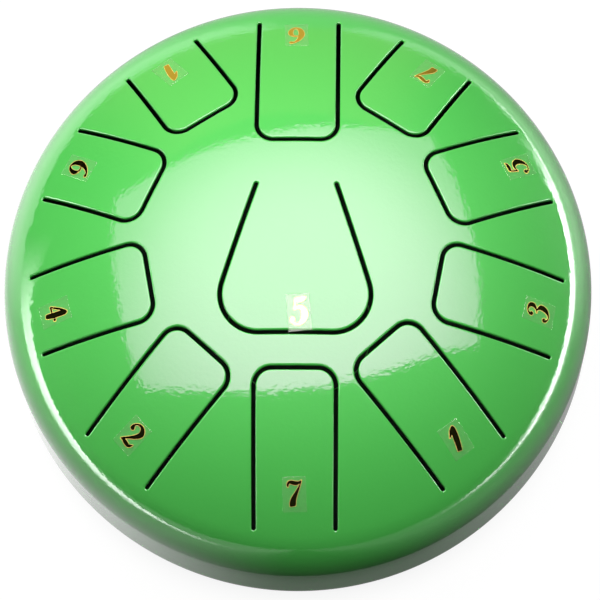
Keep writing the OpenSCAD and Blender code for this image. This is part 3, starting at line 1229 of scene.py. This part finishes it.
@dataclass(frozen=True)
class Rubber(Finish):
    """Dull black rubber with a fine grain."""

    grain: float = 5.0e-5
    grain_scale: float = 1500.0

    def surface(self, graph: Graph) -> dict[str, object]:
        """Give the shader's sockets, with grain.

        Args:
            graph: The material's tree.

        Returns:
            Values and wires for the Principled shader.
        """
        grain = self.noise(graph, self.grain_scale, 3.0)
        return {**super().surface(graph), "Roughness": grain * 0.2 + self.roughness,
                "Normal": self.bump(graph, grain, self.grain)}


PAINT = GlossPaint("green_paint", (0.105, 0.71, 0.113), 0.4)
FOIL = GoldFoil("gold_foil", (0.66, 0.68, 0.13), 0.05, 1.0)
FILM = ClearFilm("clear_film", (0.48, 0.85, 0.42), 0.08, 0.17)
RUBBER = Rubber("black_rubber", (0.02, 0.02, 0.02), 0.65)


class Generated:
    """A Geometry Nodes tree built here and turned into plain meshes."""

    def __init__(self, name: str, inputs: dict[str, float]) -> None:
        """Start a tree with its inputs, a material among them, and its output.

        Args:
            name: Name of the tree.
            inputs: Its numbers, by name, with the values they start from.
        """
        self.tree = bpy.data.node_groups.new(name, "GeometryNodeTree")
        self.graph = Graph(self.tree, "GeometryNode")
        for title, value in inputs.items():
            kind = "NodeSocketInt" if isinstance(value, int) else "NodeSocketFloat"
            self.socket(title, "INPUT", kind).default_value = value
        self.socket("Material", "INPUT", "NodeSocketMaterial")
        self.socket("Geometry", "OUTPUT", "NodeSocketGeometry")
        self.inputs = self.graph.add("NodeGroupInput")

    def socket(self, title: str, side: str, kind: str) -> bpy.types.NodeTreeInterfaceSocket:
        """Add an input or output to the tree."""
        return self.tree.interface.new_socket(title, in_out=side, socket_type=kind)

    def move(self, shape: Wire, *place: Wire) -> Wire:
        """Set the place of each point."""
        position = self.graph.add("CombineXYZ", dict(enumerate(place)))[0]
        return self.graph.add("SetPosition", {"Geometry": shape, "Position": position})[0]

    def join(self, *shapes: Wire) -> Wire:
        """Join geometries.

        Args:
            shapes: The geometries.

        Returns:
            All of them as one.
        """
        joined = self.graph.add("JoinGeometry")
        for shape in shapes:
            self.tree.links.new(shape.socket, joined.node.inputs[0])
        return joined[0]

    def close(self, shape: Wire) -> None:
        """End the tree with real meshes in the given material.

        Args:
            shape: The geometry.
        """
        real = self.graph.add("RealizeInstances", {"Geometry": shape})["Geometry"]
        painted = self.graph.add("SetMaterial", {"Geometry": real,
                                                 "Material": self.inputs["Material"]})
        self.graph.add("NodeGroupOutput", {"Geometry": painted["Geometry"]})

    def make(self, name: str, values: dict[str, object]) -> bpy.types.Object:
        """Run the tree.

        Args:
            name: Name of the object to make.
            values: Values for the tree's inputs by their names.

        Returns:
            A plain mesh object.
        """
        carrier = put(f"{name}_carrier", bpy.data.meshes.new(f"{name}_carrier"))
        modifier = carrier.modifiers.new("Generated", "NODES")
        modifier.node_group = self.tree
        for item in self.tree.interface.items_tree:
            if item.item_type == "SOCKET" and item.in_out == "INPUT" and item.name in values:
                modifier[item.identifier] = values[item.name]
        bpy.context.view_layer.update()
        graph = bpy.context.evaluated_depsgraph_get()
        mesh = bpy.data.meshes.new_from_object(carrier.evaluated_get(graph))
        mesh.name = name
        bpy.data.objects.remove(carrier)
        return put(name, mesh)


@dataclass(frozen=True)
class Peel:
    """A corner of a film that has come loose."""

    right: float = 1.0
    up: float = 1.0
    height: float = 0.0


PEELS = {"mid_3": Peel(-1.0, -1.0, 0.55), "mid_4": Peel(-1.0, -1.0, 0.35),
         "mid_5": Peel(1.0, -1.0, 0.45)}


class FilmTree(Generated):
    """A rectangle of film that lies on a ball, wavy and with one corner loose."""

    def __init__(self) -> None:
        """Build the tree."""
        super().__init__("note_film", {
            "Width": 0.01, "Length": 0.0158, "Thickness": 0.00015, "Ball Radius": 0.185,
            "Wave Height": 0.00003, "Wave Shift": 0.0, "Curl": 0.00007, "Loose Right": 1.0,
            "Loose Up": 1.0, "Loose Height": 0.0})
        g, given = self.graph, self.inputs
        sheet = g.add("MeshGrid", {"Size X": given["Width"], "Size Y": given["Length"],
                                   "Vertices X": 25, "Vertices Y": 39})["Mesh"]
        spot = g.add("InputPosition")[0]
        x, y, _ = g.parts(spot)
        ball = given["Ball Radius"]
        bed = (ball * ball - x * x - y * y).root()
        wave = g.add("TexNoise", {"Vector": spot, "W": given["Wave Shift"], "Scale": 170.0,
                                  "Detail": 1.0}, noise_dimensions="4D")[0]
        # From 0 in the middle to 1 at the loose corner, of which only the last half rises
        corner = x * given["Loose Right"] / given["Width"] + y * given["Loose Up"] / given["Length"]
        loose = (corner * 2.0 - 1.05).most(0.0)
        # High even powers lift only the last bit along the edges
        curl = (x * 2.0 / given["Width"]) ** 16.0 + (y * 2.0 / given["Length"]) ** 24.0
        bent = self.move(sheet, x, y, bed + wave * given["Wave Height"] + curl * given["Curl"]
                         + loose * loose * given["Loose Height"] * 1.1)
        thick = g.add("ExtrudeMesh", {
            "Mesh": bent, "Offset": g.add("CombineXYZ", {"Z": 1.0})[0],
            "Offset Scale": given["Thickness"], "Individual": False}, mode="FACES")
        level = g.add("SetShadeSmooth", {0: thick["Mesh"], 2: False})[0]
        level = g.add("SetShadeSmooth", {0: level, 1: thick["Top"], 2: True})[0]
        under = g.add("FlipFaces", {0: bent})[0]
        self.close(g.add("MergeByDistance", {0: self.join(under, level), "Distance": 1e-6})[0])

    def film(self, sticker: Sticker, number: int, material: bpy.types.Material) -> bpy.types.Object:
        """Make one note's film.

        Args:
            sticker: Its sizes and place.
            number: Its place among the films, which gives it waves of its own.
            material: Its material.

        Returns:
            The object.
        """
        peel = PEELS.get(sticker.note.name, Peel())
        obj = self.make(Part.FILM.piece(sticker.note.name), {
            "Width": sticker.film_w * MM, "Length": sticker.film_l * MM,
            "Thickness": sticker.film_t * MM, "Ball Radius": sticker.shape.dome_r * MM,
            "Wave Shift": number * 3.7, "Loose Right": peel.right, "Loose Up": peel.up,
            "Loose Height": peel.height * MM, "Material": material})
        obj.data.transform(scaled(sticker.place()))
        return obj


class FeetTree(Generated):
    """Rubber feet spaced evenly round a circle, shaped to the dished base."""

    def __init__(self) -> None:
        """Build the tree."""
        super().__init__("rubber_feet", {
            "Count": 4, "Circle Radius": 0.08, "Top Radius": 0.011, "Tip Radius": 0.009,
            "Edge Radius": 0.0016, "Dish Radius": 0.6, "Dish Middle": 0.606, "Sheet": 0.002,
            "Head Radius": 0.0055, "Neck Radius": 0.0035, "Head Height": 0.0035})
        g, given = self.graph, self.inputs
        blank = g.add("MeshCylinder", {"Vertices": 72, "Side Segments": 40, "Fill Segments": 6,
                                       "Radius": 1.0, "Depth": 1.0})["Mesh"]
        across, along, up = g.parts(g.add("InputPosition")[0])
        share = up + 0.5
        out, dish, sheet = given["Circle Radius"], given["Dish Radius"], given["Sheet"]
        wide = given["Tip Radius"] + (given["Top Radius"] - given["Tip Radius"]) * share
        x_full, y_full = across * wide, along * wide
        reach = (x_full + out) * (x_full + out) + y_full * y_full
        # The foot sinks a little into the sheet, so that no gap shows
        top = given["Dish Middle"] - (dish * dish - reach).root() + sheet * 0.2
        z = share * share * top
        low = (1.0 - z / given["Edge Radius"]).most(0.0)
        bend = given["Edge Radius"] * (1.0 - (1.0 - low * low).most(0.0).root())
        body = self.move(blank, across * (wide - bend), along * (wide - bend), z)
        inner = dish - sheet
        bed = given["Dish Middle"] - (inner * inner - out * out).root() - sheet * 0.3
        head = g.add("MeshCone", {"Vertices": 48, "Radius Top": given["Neck Radius"],
                                  "Radius Bottom": given["Head Radius"],
                                  "Depth": given["Head Height"] + sheet * 0.3})["Mesh"]
        lift = g.add("CombineXYZ", {"Z": bed})[0]
        head = g.add("Transform", {"Geometry": head, "Translation": lift})[0]
        ring = g.add("MeshCircle", {"Vertices": given["Count"], "Radius": out})["Mesh"]
        ring = g.add("Transform", {"Geometry": ring, "Rotation": (0.0, 0.0, math.pi / 4)})[0]
        x, y, _ = g.parts(g.add("InputPosition")[0])
        facing = g.add("CombineXYZ", {"Z": g.add("Math", {0: y, 1: x}, operation="ARCTAN2")[0]})[0]
        placed = g.add("InstanceOnPoints", {"Points": ring, "Instance": self.join(head, body),
                                            "Rotation": facing})[0]
        self.close(g.add("SetShadeSmooth", {0: placed, 2: True})[0])


@dataclass
class Drum:
    """The whole instrument."""

    shape: Shape = field(default_factory=Shape)

    def dress(self, obj: bpy.types.Object, slot: str, material: bpy.types.Material | None,
              *nodes: str) -> None:
        """Give a piece its material and hide the CAD nodes that it stands for.

        Args:
            obj: The piece.
            slot: Its material slot; not used.
            material: Its material, or None if it has one.
            nodes: The CAD nodes that it replaces.
        """
        if material is not None:
            obj.data.materials.clear()
            obj.data.materials.append(material)
        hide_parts(*nodes)
        LOG.info("%s: %d faces", obj.name, len(obj.data.polygons))

    def build(self) -> None:
        """Build every piece, hide the CAD nodes it replaces and parent all but the tongues to their
        bodies.
        """
        paint, foil = PAINT.material(), FOIL.material()
        clear, rubber = FILM.material(), RUBBER.material()
        for shell, part in ((TopShell(self.shape), Part.TOP_SHELL),
                            (BottomShell(self.shape), Part.BOTTOM_SHELL)):
            obj = shell.build()
            self.dress(obj, PAINT.slot, paint, part.value)
            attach(obj, "drum_shell")
        feet = FeetTree().make(Part.FEET.piece(), {"Material": rubber})
        self.dress(feet, RUBBER.slot, None, "foot_1", "foot_2", "foot_3", "foot_4")
        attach(feet, "drum_shell")
        films = FilmTree()
        for number, note in enumerate(NOTES):
            tongue = Tongue(self.shape, note)
            obj = tongue.build()
            self.dress(obj, PAINT.slot, paint, Part.TONGUE.node(note.name))
            tongue.bend(obj)
            sticker = Sticker(self.shape, note)
            film = films.film(sticker, number, clear)
            self.dress(film, FILM.slot, None, Part.FILM.node(note.name))
            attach(film, note.body)
            numeral = sticker.numeral()
            self.dress(numeral, FOIL.slot, foil, Part.NUMERAL.node(note.name))
            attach(numeral, note.body)


@dataclass(frozen=True)
class Glow:
    """A bright surface that shows only in reflections."""

    name: str
    strength: float
    colour: tuple[float, float, float]

    def mesh(self) -> bpy.types.Mesh:
        """Make the surface."""
        raise NotImplementedError

    def power(self, graph: Graph) -> Wire:
        """Give the strength over the surface."""
        raise NotImplementedError

    def build(self) -> bpy.types.Object:
        """Build the surface and its material.

        Returns:
            The object.
        """
        mesh, material = self.mesh(), bpy.data.materials.new(self.name)
        graph = fresh_graph(material)
        glow = graph.add("Emission", {"Color": (*self.colour, 1.0), "Strength": self.power(graph)})
        graph.add("OutputMaterial", {"Surface": glow[0]})
        mesh.materials.append(material)
        obj = put(self.name, mesh)
        obj.visible_camera = obj.visible_diffuse = obj.visible_shadow = False
        obj.visible_transmission = obj.visible_volume_scatter = False
        return obj


@dataclass(frozen=True)
class Card(Glow):
    """A flat card over the drum, brightest at one spot."""

    corners: tuple[tuple[float, float], ...]
    height: float = 1.0
    bright: tuple[float, float] = (0.05, 0.05)
    falloff: float = 0.62

    def mesh(self) -> bpy.types.Mesh:
        """Make the card."""
        points = [(x, y, self.height) for x, y in self.corners]
        return plain_mesh(self.name, points, [tuple(range(len(points)))])

    def power(self, graph: Graph) -> Wire:
        """Give the strength over the card.

        Args:
            graph: The material's tree.

        Returns:
            The strength.
        """
        x, y, _ = graph.parts(graph.add("TexCoord")["Object"])
        x, y = x - self.bright[0], y - self.bright[1]
        away = (x * x + y * y).root()
        return (1.0 - away.ramp(0.25, 1.5) * self.falloff) * self.strength


@dataclass(frozen=True)
class Ribbon(Glow):
    """A low bright wall round a part of the horizon, which fades towards its ends.

    Bearings run clockwise from +Y. They, the fades and the rises of its edges are in degrees.
    """

    start: float
    end: float
    low: float
    high: tuple[float, float]
    fade: tuple[float, float]
    radius: float = 1.3
    soft: float = 1.0
    level: float = 0.1
    segments: int = 48

    def mesh(self) -> bpy.types.Mesh:
        """Make the ribbon, with the place along and up it as attributes.

        Returns:
            The mesh.
        """
        points, faces, along = [], [], []
        for k in range(self.segments + 1):
            t = k / self.segments
            bearing = math.radians(self.start + t * (self.end - self.start))
            for rise in (self.low, self.high[0] + t * (self.high[1] - self.high[0])):
                points.append((self.radius * math.sin(bearing), self.radius * math.cos(bearing),
                               self.level + self.radius * math.tan(math.radians(rise))))
                along.append(t)
            if k:
                faces.append((2 * k - 2, 2 * k - 1, 2 * k + 1, 2 * k))
        mesh = plain_mesh(self.name, points, faces)
        mark(mesh, "along", along)
        mark(mesh, "upward", [0.0, 1.0] * (self.segments + 1))
        return mesh

    def power(self, graph: Graph) -> Wire:
        """Give the strength along and up the ribbon.

        Args:
            graph: The material's tree.

        Returns:
            The strength.
        """
        along = graph.attribute("along")
        span = abs(self.end - self.start)
        rise = along.ramp(0.0, self.fade[0] / span)
        fall = (1.0 - along).ramp(0.0, self.fade[1] / span)
        return rise * fall * graph.attribute("upward") ** self.soft * self.strength


@dataclass(frozen=True)
class Lamp:
    """A soft lamp that shows neither to the camera nor in reflections."""

    name: str
    place: tuple[float, float, float]
    size: tuple[float, float]
    power: float
    aim: tuple[float, float, float] = (0.0, 0.0, 0.1)

    def build(self) -> bpy.types.Object:
        """Hang the lamp.

        Returns:
            The object.
        """
        data = bpy.data.lights.new(self.name, "AREA")
        data.shape, data.size, data.size_y, data.energy = "RECTANGLE", *self.size, self.power
        obj = put(self.name, data)
        obj.location = self.place
        look = Vector(self.aim) - Vector(self.place)
        obj.rotation_euler = look.to_track_quat("-Z", "Y").to_euler()
        obj.visible_camera = obj.visible_glossy = False
        return obj


OVERHEAD = Card("overhead_card", 11.3, (1.0, 0.48, 1.0), (
    (-1.43, 0.99), (-1.14, 0.10), (-0.99, -0.475), (-0.53, -0.455), (-0.14, -0.444), (0.16, -0.41),
    (0.53, -0.32), (0.80, -0.23), (1.16, -0.17), (1.09, 1.04), (1.02, 1.56), (0.32, 1.27),
    (0.0, 1.20), (-0.31, 1.11), (-0.63, 1.07), (-0.89, 1.01)))
LEFT = Ribbon("left_ribbon", 20.0, WHITE, start=-66.0, end=-130.0, low=-24.0, high=(13.1, -4.5),
              fade=(34.0, 5.0))
RIGHT = Ribbon("right_ribbon", 26.0, WHITE, start=42.0, end=127.0, low=-24.0, high=(3.3, -1.0),
               fade=(22.0, 40.0), soft=1.8)
BACK = Ribbon("back_ribbon", 0.8, (1.0, 0.64, 0.34), start=-52.0, end=34.0, low=-2.0,
              high=(32.0, 32.0), fade=(25.0, 20.0), radius=2.4, soft=0.0)
KEY = Lamp("key", (-0.6, 0.75, 0.85), (0.7, 0.6), 8.9)
TOP = Lamp("top", (0.06, 0.0, 0.5), (0.25, 0.25), 1.05)
# Camera fitted to the photo: its right, up and back directions, its place and its focal length
CAMERA_AXES = ((0.999883, 0.008746, -0.01257), (-0.004984, 0.962014, 0.272955),
               (0.01448, -0.27286, 0.961945))
CAMERA_PLACE = (25.082, -458.079, 1670.625)
CAMERA_LENS = 230.236


@dataclass
class Studio:
    """Floor, light and camera."""

    floor_half: float = 12.0
    floor_z: float = -2e-4

    @staticmethod
    def mirrored(x: Wire, y: Wire, away: Wire) -> Wire:
        """Give the floor's brightness in reflections, zone by zone, after the photo.

        Args:
            x: Place along X in metres.
            y: Place along Y in metres.
            away: Distance from the drum's axis.

        Returns:
            The strength.
        """
        side = (-x).ramp(0.08, 0.3) * 1.8 + x.ramp(0.15, 0.35) * 1.45
        back = y.ramp(-0.12, 0.12) * (side + 0.55)
        front = (-x).ramp(0.0, 0.18) * 1.15 + x.ramp(0.05, 0.25) * 0.6
        right = x.ramp(0.4, 1.2) ** 1.5 * y.ramp(-1.2, -0.3) * (1.0 - y.ramp(0.6, 1.4)) * 30.0
        left = ((-(x * 0.69 + y * 0.73)).ramp(0.45, 0.72) * (y * 0.94 - x * 0.34).ramp(-0.5, -0.4)
                * (1.0 - y.ramp(0.0, 0.3)) * 12.0)
        near = (1.0 - away.ramp(0.138, 0.147)) * 0.2
        return back.most(front) + right + left + near

    def floor(self) -> bpy.types.Object:
        """Build the floor, white to the camera, clear from below and darker under the drum, where
        its glow fades as a painted shadow.

        Returns:
            The object.
        """
        half, z = self.floor_half, self.floor_z
        corners = [(-half, -half, z), (half, -half, z), (half, half, z), (-half, half, z)]
        mesh = plain_mesh("floor", corners, [(0, 1, 2, 3)])
        material = bpy.data.materials.new("floor_white")
        graph = fresh_graph(material)
        ray = graph.add("LightPath")
        x, y, _ = graph.parts(graph.add("TexCoord")["Object"])
        away = (x * x + y * y).root()
        seen = ray["Is Camera Ray"] * 0.98 + ray["Is Glossy Ray"] * self.mirrored(x, y, away)
        # The glow fades towards the drum's axis: a painted contact shadow, which also keeps the
        # floor from glowing through the slots
        strength = seen * away.ramp(0.06, 0.132)
        glow = graph.add("Emission", {"Color": (*WHITE, 1.0), "Strength": strength})[0]
        matt = graph.add("BsdfDiffuse", {"Color": (0.07, 0.07, 0.07, 1.0)})[0]
        lit = graph.add("AddShader", {0: glow, 1: matt})[0]
        clear = graph.add("BsdfTransparent")[0]
        below = graph.add("NewGeometry")["Backfacing"]
        surface = graph.add("MixShader", {0: below, 1: lit, 2: clear})[0]
        graph.add("OutputMaterial", {"Surface": surface})
        mesh.materials.append(material)
        return put("floor", mesh)

    def world(self) -> None:
        """Make the surroundings white to the camera and dim for everything else."""
        world = bpy.data.worlds.new("studio")
        graph = fresh_graph(world)
        ray = graph.add("LightPath")
        strength = (ray["Is Camera Ray"] + ray["Is Diffuse Ray"] * 0.14
                    + ray["Is Glossy Ray"] * 0.012)
        glow = graph.add("Background", {"Color": (*WHITE, 1.0), "Strength": strength})
        graph.add("OutputWorld", {"Surface": glow[0]})
        bpy.context.scene.world = world

    def camera(self) -> None:
        """Set the camera where the photo was taken from."""
        data = bpy.data.cameras.new("camera")
        data.sensor_width, data.lens, data.clip_end = 36.0, CAMERA_LENS, 100.0
        obj = put("camera", data)
        frame = Matrix(CAMERA_AXES).transposed().to_4x4()
        frame.translation = Vector(CAMERA_PLACE) * MM
        obj.matrix_world = frame
        bpy.context.scene.camera = obj

    def build(self) -> None:
        """Build the studio."""
        floor = self.floor()
        for card in (OVERHEAD, LEFT, RIGHT, BACK):
            card.build()
        key, top = KEY.build(), TOP.build()
        self.world()
        self.camera()
        view = bpy.context.scene.view_settings
        view.view_transform = "Standard"


def main() -> None:
    """Build the drum in the frame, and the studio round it."""
    logging.basicConfig(level=logging.INFO, format="%(message)s")
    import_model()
    Drum().build()
    Studio().build()


if __name__ == "__main__":
    main()
